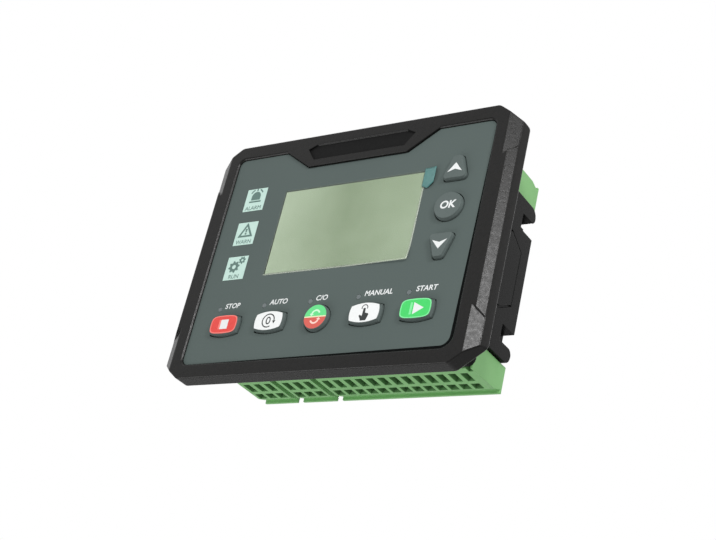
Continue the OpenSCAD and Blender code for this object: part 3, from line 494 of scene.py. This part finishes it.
window_tint, place, feed = new_material("display_window", {"Roughness": 0.2, "Specular IOR Level": 0.25})
window_low, window_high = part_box("lcd_window")
window_x, window_z = (window_low.x + window_high.x) / 2, (window_low.z + window_high.z) / 2
# Painted reflection: the window's colour is lighter towards its left and right ends and darker down the
# middle, with random drift and streaks.
across = (place.axis(0) - window_x) * (2 / (window_high.x - window_low.x))
left = place.math("MAXIMUM", across * -1.0, 0.0)
right = place.math("MAXIMUM", across, 0.0)
drift = place.noise(20 * MM, 2.0)
streak = place.noise(6 * MM, 2.0)
painted_reflection = left * 0.85 + right * 0.35 + drift * 0.45 + streak * 0.15 - 0.25
feed(Base_Color=place.math("MINIMUM", painted_reflection, 1.0).between(screen(138, 156, 126), screen(186, 202, 176)))
dress("lcd_window", window_tint)
EDGE_W = 0.45
FLANGE = 1.47
edge_x = (window_high.x - window_low.x) / MM / 2 - FLANGE
edge_z = (window_high.z - window_low.z) / MM / 2 - FLANGE
# Painted shadow: a dark line along the left and top edges of the window's opening, where the window sits
# below the sheet.
sign("display_edge_shadow", [[
    (-edge_x, -edge_z), (-edge_x, edge_z), (edge_x, edge_z), (edge_x, edge_z + EDGE_W),
    (-edge_x - EDGE_W, edge_z + EDGE_W), (-edge_x - EDGE_W, -edge_z)]],
    window_x, face_y, window_z,
    ink("painted_window_shadow", screen(62, 72, 68), screen(52, 60, 57)))

backlight_plastic, place, feed = new_material("backlight_plastic", {"Roughness": 0.4})
feed(Base_Color=place.noise(3 * MM).between(screen(222, 226, 222), screen(236, 238, 236)))
dress("lcd_backlight", backlight_plastic)
inner_plastic = grained_plastic("inner_black_plastic", screen(24, 24, 25), screen(40, 40, 41),
                                0.4 * MM, 0.02 * MM, 0.3)
dress("lcd_frame", inner_plastic)


# Protective film: a clear sheet stuck on the window for delivery, with a teal pull tab.
# Its lower right corner has come loose and stands off the window.
clear_film, place, feed = new_material("clear_film", {"Roughness": 0.2, "Specular IOR Level": 0.8})
film_low, film_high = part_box("protective_film")
FILM_EDGE = 0.6 * MM
# Painted highlight: in a band along the film's right and lower edges the film is lighter and less clear,
# where its edges catch the light; the smears are real.
past_side = place.axis(0) - (film_high.x - FILM_EDGE)
past_end = (film_low.z + FILM_EDGE) - place.axis(2)
edge_highlight = place.math("MAXIMUM", past_side, past_end).above(0.0)
smear = place.noise(5 * MM, 3.0)
smears_and_edge_highlight = (smear * 0.4 + edge_highlight * 0.6).between(screen(156, 173, 145), screen(214, 224, 206))
feed(Base_Color=smears_and_edge_highlight, Alpha=edge_highlight * 0.3 + 0.08)
FILM_ACROSS = 64
FILM_UP = 40
FILM_T = 0.06 * MM
FILM_GAP = 0.03 * MM
LOOSE_W = 26 * MM
LOOSE_H = 7 * MM
LOOSE_LIFT = 0.9 * MM
LOOSE_BEND = 1.6


def sheet_of_quads(name, across, up, point):
    """Sheet of quads whose corners a function gives from two shares, across and up."""
    form = bmesh.new()
    rows = [[form.verts.new(point(i / across, j / up)) for i in range(across + 1)]
            for j in range(up + 1)]
    for below, over in zip(rows, rows[1:]):
        for i in range(across):
            form.faces.new((below[i], below[i + 1], over[i + 1], over[i]))
    mesh = bpy.data.meshes.new(name)
    form.to_mesh(mesh)
    form.free()
    mesh.shade_smooth()
    piece = bpy.data.objects.new(name, mesh)
    scene.collection.objects.link(piece)
    return piece


def film_point(s, t):
    """Point of the film; it lifts towards the lower right corner."""
    x = film_low.x + (film_high.x - film_low.x) * s
    z = film_low.z + (film_high.z - film_low.z) * t
    right = max(0.0, 1 - (film_high.x - x) / LOOSE_W)
    low = max(0.0, 1 - (z - film_low.z) / LOOSE_H)
    return Vector((x, film_high.y - FILM_GAP - LOOSE_LIFT * right * low ** LOOSE_BEND, z))


film = sheet_of_quads("loose_film", FILM_ACROSS, FILM_UP, film_point)
film.data.materials.append(clear_film)
film_wall = film.modifiers.new("wall", "SOLIDIFY")
film_wall.thickness = FILM_T
film_wall.offset = 1
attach(film, "controller")
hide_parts("protective_film")

teal_plastic, place, feed = new_material("teal_tab", {"Roughness": 0.3, "Coat Weight": 0.3})
stripe = place.noise(1.2 * MM, 1.0)
feed(Base_Color=stripe.between(screen(54, 108, 106), screen(82, 134, 130)))
tab_low, tab_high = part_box("film_tab")
TAB_LIFT = 0.7 * MM
TAB_T = 0.2 * MM
TAB_ACROSS = 12
TAB_UP = 8
TAB_TIP = 0.5
TAB_LEFT_CUT = 1.2 * MM
TAB_RIGHT_CUT = 2.2 * MM


def tab_point(s, t):
    """Point of the tab: its lower end is cut to a blunt tip, and its free edge curls up."""
    left_of_tip = TAB_LEFT_CUT * (1 - s / TAB_TIP)
    right_of_tip = TAB_RIGHT_CUT * (s - TAB_TIP) / (1 - TAB_TIP)
    foot = left_of_tip if s < TAB_TIP else right_of_tip
    low = tab_low.z + foot
    return Vector((tab_low.x + (tab_high.x - tab_low.x) * s, tab_high.y - TAB_LIFT * s * s,
                   low + (tab_high.z - low) * t))


tab = sheet_of_quads("curled_tab", TAB_ACROSS, TAB_UP, tab_point)
tab.data.materials.append(teal_plastic)
tab_wall = tab.modifiers.new("wall", "SOLIDIFY")
tab_wall.thickness = TAB_T
tab_wall.offset = 1
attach(tab, "controller")
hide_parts("film_tab")


# Keypad: a silicone mat between the bezel's plate and the main board, with the keys moulded
# to it by a thin web, so that each one springs back.
silicone, place, feed = new_material("grey_silicone", {"Specular IOR Level": 0.22})
satin = place.noise(0.5 * MM, 2.0)
shade = place.noise(30 * MM, 1.0)
feed(Base_Color=(satin * 0.4 + shade * 0.6).between(screen(80, 90, 88), screen(96, 106, 104)),
     Roughness=0.42 + satin * 0.14,
     Normal=satin.bump(0.02 * MM, 0.4))
dress("keypad_mat", silicone)


# Keys: grey silicone caps with a sloping skirt and a printed face under a clear lacquer.
# Each one slides in its collar, and its sign rides on it.
def lacquer(name, colour, darker):
    material, place, feed = new_material(name, {"Coat Weight": 0.25, "Coat Roughness": 0.2})
    tone = place.noise(1.5 * MM, 2.0)
    feed(Base_Color=tone.between(darker, colour), Roughness=0.34 + tone * 0.1)
    return material


KEY_EDGE = 0.14 * MM


def key_cap(node, face_material):
    """Key with its skirt in silicone and its flat front face printed; gives its centre and front."""
    low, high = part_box(node)
    cap = softened(node, KEY_EDGE, [silicone, face_material], body=node, steps=3, front=low.y)
    for side in cap.data.polygons:
        if side.normal.y < -FACING and side.center.y < low.y + FLUSH:
            side.material_index = 1
    return (low.x + high.x) / 2, low.y, (low.z + high.z) / 2


def swell(wide, high, power=4.1, steps=56):
    """Rectangle whose sides bulge, as a superellipse."""
    points = []
    for i in range(steps):
        c, s = math.cos(2 * math.pi * i / steps), math.sin(2 * math.pi * i / steps)
        points.append((math.copysign(wide / 2 * abs(c) ** (2 / power), c),
                       math.copysign(high / 2 * abs(s) ** (2 / power), s)))
    return points


red = lacquer("red_key_face", screen(228, 68, 58), screen(212, 54, 48))
green = lacquer("green_key_face", screen(64, 214, 104), screen(54, 200, 94))
white = lacquer("white_key_face", screen(244, 245, 245), screen(232, 235, 234))
pale_red = ink("pale_red_ink", screen(248, 136, 126), screen(240, 122, 114))
pale_green = ink("pale_green_ink", screen(138, 238, 166), screen(124, 228, 152))
dark_ink = ink("dark_ink", screen(38, 42, 42), screen(52, 57, 56))
key_rim = [swell(12.6, 7.6), swell(11.8, 6.8)[::-1]]

x, y, z = key_cap("key_up", silicone)
sign("key_up_sign", [[(0, 1.7), (3.1, -2.2), (0, -1.1), (-3.1, -2.2)]], x, y, z, white_ink, "key_up")
x, y, z = key_cap("key_down", silicone)
sign("key_down_sign", [[(0, -1.7), (3.1, 2.1), (0, 1.0), (-3.1, 2.1)]], x, y, z, white_ink, "key_down")
x, y, z = key_cap("key_ok", silicone)
word("OK", 3.0, x, y, z, white_ink, "key_ok", bold=0.14, slant=0.12)

x, y, z = key_cap("key_stop", red)
sign("key_stop_edge", key_rim, x, y, z, pale_red, "key_stop")
sign("key_stop_sign", [plate(3.6, 4.0, 0.3)], x, y, z, white_ink, "key_stop")
sign("key_stop_band", [plate(0.9, 4.0, -1.95)], x, y, z, pale_red, "key_stop")

x, y, z = key_cap("key_auto", white)
arrow = [(3.2, -0.1), (1.8, -0.1), (2.5, -1.3)]
nought = [swell(2.0, 2.9, 2.2), swell(1.1, 2.0, 2.2)[::-1]]
sign("key_auto_sign", [band(2.7, 0.42, 0, 300), arrow] + nought, x, y, z, dark_ink, "key_auto", 1.1)

split, place, feed = new_material("green_and_red_key_face", {"Coat Weight": 0.25, "Coat Roughness": 0.2})
tone = place.noise(1.5 * MM, 2.0)
upper = place.axis(2).above(row_z)
feed(Base_Color=upper.between(screen(210, 88, 76), screen(96, 216, 132)), Roughness=0.34 + tone * 0.1)
x, y, z = key_cap("key_transfer", split)
cream = ink("cream_ink", screen(240, 236, 196), screen(228, 224, 184))
sign("key_transfer_line", [plate(9.7, 0.5)], x, y, z, cream, "key_transfer")
mint = ink("mint_ink", screen(214, 250, 218), screen(198, 242, 204))
rose = ink("rose_ink", screen(252, 218, 206), screen(246, 204, 192))
arrow = [(-2.7, 1.36), (-0.8, 1.03), (-1.85, 0.35)]
sign("key_transfer_upper", [band(2.1, 0.7, 20, 170, 0, 0.9), arrow], x, y, z, mint, "key_transfer")
arrow = [(-across, -up) for across, up in arrow]
sign("key_transfer_lower", [band(2.1, 0.7, 200, 350, 0, -0.9), arrow], x, y, z, rose, "key_transfer")

x, y, z = key_cap("key_manual", white)
hand = [(-0.45, 1.5), (0.3, 1.5), (0.42, -0.1), (1.5, -0.35), (1.75, -0.8), (1.35, -2.0),
        (1.05, -2.7), (-0.85, -2.7), (-1.15, -1.9), (-1.75, -1.0), (-1.35, -0.7), (-0.6, -1.15)]
touch = band(1.15, 0.28, -20, 200, -0.05, 1.6)
sign("key_manual_sign", [hand, touch], x, y, z, dark_ink, "key_manual", 1.2)

x, y, z = key_cap("key_start", green)
sign("key_start_edge", key_rim, x, y, z, pale_green, "key_start")
sign("key_start_band", [plate(0.9, 4.8, -1.9)], x, y, z, pale_green, "key_start")
sign("key_start_sign", [[(-0.9, -2.4), (3.4, 0), (-0.9, 2.4)]], x, y, z, white_ink, "key_start")

for node, slot in (("key_up", "grey_silicone"), ("key_ok", "grey_silicone"),
                   ("key_down", "grey_silicone"), ("key_stop", "red_key"), ("key_auto", "white_key"),
                   ("key_transfer", "green_red_key"), ("key_manual", "white_key"),
                   ("key_start", "green_key")):
    bpy.data.objects[node + "_finished"]


# Boards: two glass-fibre boards with green solder mask, held apart by brass spacers.
# The main board carries the lamps and chips, the other one the relays and capacitors.
solder_mask, place, feed = new_material("solder_mask", {"Specular IOR Level": 0.6, "Coat Weight": 0.3})
traces = place.noise(1.8 * MM, 0.0).above(0.52)
feed(Base_Color=traces.between(screen(16, 84, 50), screen(28, 108, 66)), Roughness=0.3 + traces * 0.1)
brass, place, feed = new_material("turned_brass", {"Metallic": 1.0})
turning = place.noise(0.3 * MM, 2.0)
feed(Base_Color=turning.between(screen(190, 160, 88), screen(214, 186, 112)),
     Roughness=0.25 + turning * 0.2)
steel, place, feed = new_material("plated_steel", {"Metallic": 1.0})
plating = place.noise(0.6 * MM, 3.0)
feed(Base_Color=plating.between(screen(168, 168, 164), screen(204, 204, 200)),
     Roughness=0.26 + plating * 0.22)
chip_resin, place, feed = new_material("lamp_chip", {"Roughness": 0.2})
feed(Base_Color=place.noise(0.4 * MM).between(screen(226, 224, 190), screen(240, 238, 214)))
for node, material in (("main_board", solder_mask), ("io_board", solder_mask), ("board_screws", steel),
                       ("board_spacers", brass), ("lamp_chips", chip_resin),
                       ("control_chips", inner_plastic), ("board_connector", inner_plastic),
                       ("relays", inner_plastic), ("capacitors", inner_plastic)):
    dress(node, material)


# Rear housing: a deep black moulding that goes through the panel's cut-out, with slots in its
# sides for the panel clips, and held to the boards' spacers by screws from the rear.
housing_plastic = grained_plastic("black_housing_plastic", screen(10, 10, 10), screen(26, 26, 26),
                                  0.4 * MM, 0.04 * MM, 0.07)
housing_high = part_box("rear_housing")[1]
HOUSING_EDGE = 0.16 * MM
SEATS_IN = 8 * MM
SEAT_BAND = 1 * MM
SEAT_SHARE = 0.2


def housing_share(middle):
    """The screw seats in the rear face have nearly sharp edges."""
    at_rear = housing_high.y - middle.y < SEAT_BAND
    seat = abs(middle.x) < housing_high.x - SEATS_IN and abs(middle.z) < housing_high.z - SEATS_IN
    return SEAT_SHARE if at_rear and seat else 1.0


housing = softened("rear_housing", HOUSING_EDGE, [housing_plastic], share=housing_share)

CROWN = 0.16
CROSS_LONG = 0.56
CROSS_WIDE = 0.13
CROSS_DEEP = 1.2
screw_tree, size = begin_tree("rear_screw_set", {"Head": "Float", "Thickness": "Float", "Shank": "Float",
                                                 "Length": "Float", "Across": "Float", "Up": "Float",
                                                 "Middle": "Vector"})
head = size["Head"].add("GeometryNodeMeshCylinder", {},
                        {"Vertices": 40, "Radius": size["Head"] * 0.5, "Depth": size["Thickness"]})
crown = head.add("GeometryNodeMeshUVSphere", {},
                 {"Segments": 40, "Rings": 16, "Radius": size["Head"] * 0.5})
crown_at = head.add("ShaderNodeCombineXYZ", {}, {"Z": size["Thickness"] * 0.5})
crown = crown.add("GeometryNodeTransform", {},
                  {"Geometry": crown, "Translation": crown_at, "Scale": (1, 1, CROWN)})
solid_head = head.add("GeometryNodeMeshBoolean", {"operation": "UNION"}, {"Mesh 2": [head, crown]})
arm_size = head.add("ShaderNodeCombineXYZ", {}, {"X": size["Head"] * CROSS_LONG,
                                                 "Y": size["Head"] * CROSS_WIDE,
                                                 "Z": size["Thickness"] * CROSS_DEEP})
arm = head.add("GeometryNodeMeshCube", {}, {"Size": arm_size})
arm = arm.add("GeometryNodeTransform", {}, {"Geometry": arm, "Translation": crown_at})
cross_arm = arm.add("GeometryNodeTransform", {}, {"Geometry": arm, "Rotation": (0, 0, math.pi / 2)})
driven = head.add("GeometryNodeMeshBoolean", {"operation": "DIFFERENCE"},
                  {"Mesh 1": solid_head, "Mesh 2": [arm, cross_arm]})
shank = head.add("GeometryNodeMeshCylinder", {},
                 {"Vertices": 32, "Radius": size["Shank"] * 0.5, "Depth": size["Length"]})
shank_at = head.add("ShaderNodeCombineXYZ", {}, {"Z": (size["Length"] + size["Thickness"]) * -0.5})
shank = shank.add("GeometryNodeTransform", {}, {"Geometry": shank, "Translation": shank_at})
screw = head.add("GeometryNodeJoinGeometry", {}, {"Geometry": [driven, shank]})
screw = screw.add("GeometryNodeTransform", {}, {"Geometry": screw, "Rotation": (-math.pi / 2, 0, 0)})
corners = head.add("GeometryNodeMeshGrid", {}, {"Size X": size["Across"], "Size Y": size["Up"],
                                                "Vertices X": 2, "Vertices Y": 2})
corners = corners.add("GeometryNodeTransform", {}, {"Geometry": corners, "Translation": size["Middle"],
                                                    "Rotation": (math.pi / 2, 0, 0)})
end_tree(screw_tree, corners, screw, steel)
screw_low, screw_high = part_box("rear_screws")
HEAD_D = 5.6 * MM
HEAD_T = 1.5 * MM
SHANK_D = 3.0 * MM
CROWN_RISE = 0.35 * MM
head_back = screw_high.y - CROWN_RISE
rear_screws = grown("rear_screw_set", screw_tree, {
    "Head": HEAD_D, "Thickness": HEAD_T, "Shank": SHANK_D, "Length": head_back - HEAD_T - screw_low.y,
    "Across": screw_high.x - screw_low.x - HEAD_D, "Up": screw_high.z - screw_low.z - HEAD_D,
    "Middle": (0.0, head_back - HEAD_T / 2, 0.0)})
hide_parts("rear_screws")


# Terminal blocks: green headers soldered to the rear board, and the plugs that push on to them,
# each with a row of square wire entries, and steel clamps drawn up by slotted screws.
green_plastic, place, feed = new_material("terminal_green", {"Specular IOR Level": 0.45})
flow = place.noise(9 * MM, 2.0)
speck = place.noise(0.4 * MM, 2.0)
feed(Base_Color=(flow * 0.6 + speck * 0.4).between(screen(112, 172, 103), screen(142, 197, 130)),
     Roughness=0.4 + speck * 0.15,
     Normal=speck.bump(0.015 * MM, 0.5))
# Painted shade inside the wire entries: this green darkens with depth below the plug's face, with a
# little random variation.
shaded_green, place, feed = new_material("terminal_green_painted_shade",
                                       {"Specular IOR Level": 0.15, "Roughness": 0.6})
ENTRY_DEPTH = 7 * MM
plug_face = -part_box("plug_low_right")[0].z
inward = (plug_face - place.math("ABSOLUTE", place.axis(2), 0.0)) * (1 / ENTRY_DEPTH)
depth = inward + place.noise(2 * MM, 2.0) * 0.2
feed(Base_Color=depth.between(screen(116, 170, 108), screen(30, 58, 28)))
PLUG_EDGE = 0.12 * MM
WALL = 0.3 * MM
RIM = 0.5 * MM
LIP = 1.5 * MM
FACE_FALL = 2.2 * MM


def terminal_plug(node):
    """Plug with rounded edges, and the walls inside its openings in green darkened by painted shade."""
    low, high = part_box(node)
    outside = 1 if low.z > 0 else -1
    screws_low, screws_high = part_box("high_clamp_screws" if outside > 0 else "low_clamp_screws")

    def plug_share(middle):
        """The rims of the screw holes in the rear face stay sharp."""
        level = screws_low.z - RIM < middle.z < screws_high.z + RIM
        at_rear = high.y - middle.y < RIM and low.x + WALL < middle.x < high.x - WALL
        return 0.0 if level and at_rear else 1.0

    plug = softened(node, PLUG_EDGE, [green_plastic, shaded_green], share=plug_share)
    face = high.z if outside > 0 else -low.z
    for side in plug.data.polygons:
        middle = side.center
        # Faces inside the openings, and those deep below the face, take the painted shade.
        inside_shade = low.x + WALL < middle.x < high.x - WALL and low.y + WALL < middle.y < high.y - LIP
        if inside_shade and (abs(side.normal.z) < 0.5 or outside * middle.z < face - FACE_FALL):
            side.material_index = 1
    return plug


for node in ("plug_low_left", "plug_low_middle", "plug_low_right", "plug_high_left", "plug_high_right"):
    terminal_plug(node)
for node in ("low_headers", "high_headers"):
    dress(node, green_plastic)
for node in ("low_pins", "high_pins", "low_clamps", "high_clamps",
             "low_clamp_screws", "high_clamp_screws"):
    dress(node, steel)


# Stage: a pale floor well below, a white surround, two soft lamps to the right and in front, a
# weaker one low on the left, one behind for the rear side, and the camera at the angle from
# below that shows the terminals.
FLOOR_Z = -0.80
FLOOR_HALF = 4
floor_mesh = bpy.data.meshes.new("floor")
floor_corners = [(FLOOR_HALF * across, FLOOR_HALF * back, FLOOR_Z)
                 for across, back in ((-1, -1), (1, -1), (1, 1), (-1, 1))]
floor_mesh.from_pydata(floor_corners, [], [(0, 1, 2, 3)])
floor = bpy.data.objects.new("floor", floor_mesh)
scene.collection.objects.link(floor)


def seen_rays(tree):
    """1 on rays that show a surface directly, mirrored or through glass, and 0 on all others."""
    rays = tree.nodes.new("ShaderNodeLightPath")
    seen = Wire(tree, rays.outputs["Is Camera Ray"])
    for kind in ("Is Glossy Ray", "Is Transmission Ray"):
        seen = seen.math("MAXIMUM", seen, Wire(tree, rays.outputs[kind]))
    return seen


floor_paint, place, feed = new_material("floor_paint", {"Roughness": 0.8, "Emission Strength": 0.05})
feed(Base_Color=place.noise(0.4, 1.0).between(screen(236, 236, 236), screen(242, 242, 242)),
     Emission_Color=seen_rays(floor_paint.node_tree).between((0, 0, 0, 1), (1, 1, 1, 1)))
floor_mesh.materials.append(floor_paint)

world = bpy.data.worlds.new("surround")
scene.world = world
world.use_nodes = True
tree = world.node_tree
sky = tree.nodes["Background"]
AMBIENT = 0.37
tree.links.new((seen_rays(tree) * (1 - AMBIENT) + AMBIENT).socket, sky.inputs["Strength"])
sky.inputs["Color"].default_value = (1, 1, 1, 1)


def lamp(name, power, size, place):
    """Soft square lamp that looks at the part."""
    light = bpy.data.lights.new(name, "AREA")
    light.energy = power
    light.size = size
    holder = bpy.data.objects.new(name, light)
    holder.location = place
    holder.rotation_euler = (-Vector(place)).to_track_quat("-Z", "Y").to_euler()
    scene.collection.objects.link(holder)


lamp("right_lamp", 3.8, 0.2, (0.82, -0.465, 0.35))
lamp("front_lamp", 4.6, 0.2, (0.48, -0.80, 0.35))
lamp("low_lamp", 2.2, 0.4, (-0.46, -0.36, -0.56))
lamp("rear_lamp", 6.0, 0.4, (-0.60, 0.90, 0.50))

CAMERA_AT = (0.3103, -0.3754, -0.2480)
CAMERA_RIGHT = (0.82317, 0.52659, 0.21236)
CAMERA_UP = (0.08659, -0.48605, 0.86963)
CAMERA_BACK = (0.56116, -0.69746, -0.44570)
SENSOR = 36
FOCAL = 72.37
camera = bpy.data.objects.new("camera", bpy.data.cameras.new("camera"))
camera.data.sensor_width = SENSOR
camera.data.lens = FOCAL
camera.data.clip_start = 0.01
turn = Matrix((CAMERA_RIGHT, CAMERA_UP, CAMERA_BACK)).transposed().to_4x4()
camera.matrix_world = Matrix.Translation(CAMERA_AT) @ turn
scene.collection.objects.link(camera)
scene.camera = camera
scene.view_settings.view_transform = "Standard"
